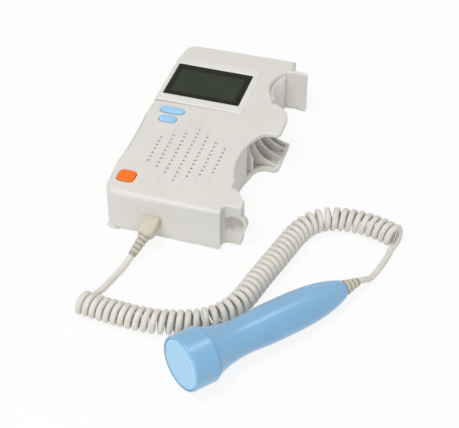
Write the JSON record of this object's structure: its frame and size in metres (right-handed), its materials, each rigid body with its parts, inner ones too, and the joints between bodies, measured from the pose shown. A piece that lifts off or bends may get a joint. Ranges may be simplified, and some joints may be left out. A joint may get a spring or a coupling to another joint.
{
  "type": "fetal doppler",
  "caption": "Hand-held fetal doppler: a unit with display, keys, speaker grille and probe cradle, and a blue ultrasound probe on a curly cord that plugs into its foot.",
  "frame": {"origin": "on the back face of the unit, at the middle of its main block, which is the face it lies on", "axes": "+X towards the cradle side, +Y towards the head end, +Z out of the front face"},
  "size_m": [0.191, 0.3032, 0.0361],
  "materials": {
    "housing": "fine satin moulding",
    "bezel": "smooth satin",
    "lens": "polished",
    "foam": "matte",
    "lcd": "matte",
    "white_plastic": "satin",
    "steel": "plated",
    "board": "satin",
    "black_plastic": "satin",
    "blue_key": "satin",
    "orange_key": "satin",
    "ferrite": "matte",
    "paper": "matte",
    "cell": "satin",
    "plug": "satin",
    "cord": "satin",
    "probe": "satin",
    "probe_face": "satin",
    "seal": "matte",
    "ceramic": "matte"
  },
  "bodies": {
    "unit": {"front_housing": "housing", "rear_cover": "housing", "display_bezel": "bezel", "display_window": "lens", "lcd_foam": "foam", "lcd_glass": "lcd", "lcd_backlight": "white_plastic", "lcd_pins": "steel", "main_board": "board", "board_chips": "black_plastic", "tact_switches": "black_plastic", "speaker_gasket": "foam", "speaker_basket": "steel", "speaker_magnet": "ferrite", "speaker_cone": "paper", "battery_cells": "cell", "battery_springs": "steel", "battery_contacts": "steel", "housing_screws": "steel", "probe_socket": "steel"},
    "upper_key": {"upper_button": "blue_key"},
    "lower_key": {"lower_button": "blue_key"},
    "power_key": {"power_button": "orange_key"},
    "door": {"battery_door": "housing"},
    "lead_set": {"plug_shell": "steel", "plug_overmold": "plug", "plug_strain_relief": "plug", "plug_lead": "cord", "coil_cord": "cord", "probe_lead": "cord", "probe_strain_relief": "plug", "probe_handle": "probe", "probe_head": "probe", "probe_face": "probe_face", "probe_seal": "seal", "crystal_holder": "white_plastic", "transmit_crystal": "ceramic", "receive_crystal": "ceramic", "acoustic_backing": "black_plastic", "probe_board": "board"}
  },
  "joints": [
    {"name": "upper_key_press", "type": "slide", "parent": "unit", "child": "upper_key", "axis": [0, 0, -1], "range_m": [0, 0.0007], "stiffness_N_per_m": 800},
    {"name": "lower_key_press", "type": "slide", "parent": "unit", "child": "lower_key", "axis": [0, 0, -1], "range_m": [0, 0.0007], "stiffness_N_per_m": 800},
    {"name": "power_key_press", "type": "slide", "parent": "unit", "child": "power_key", "axis": [0, 0, -1], "range_m": [0, 0.0007], "stiffness_N_per_m": 800},
    {"name": "door_slide", "type": "slide", "parent": "unit", "child": "door", "axis": [0, 1, 0], "range_m": [0, 0.06]},
    {"name": "plug_pull", "type": "slide", "parent": "unit", "child": "lead_set", "axis": [0, -1, 0], "range_m": [0, 0.01]}
  ]
}
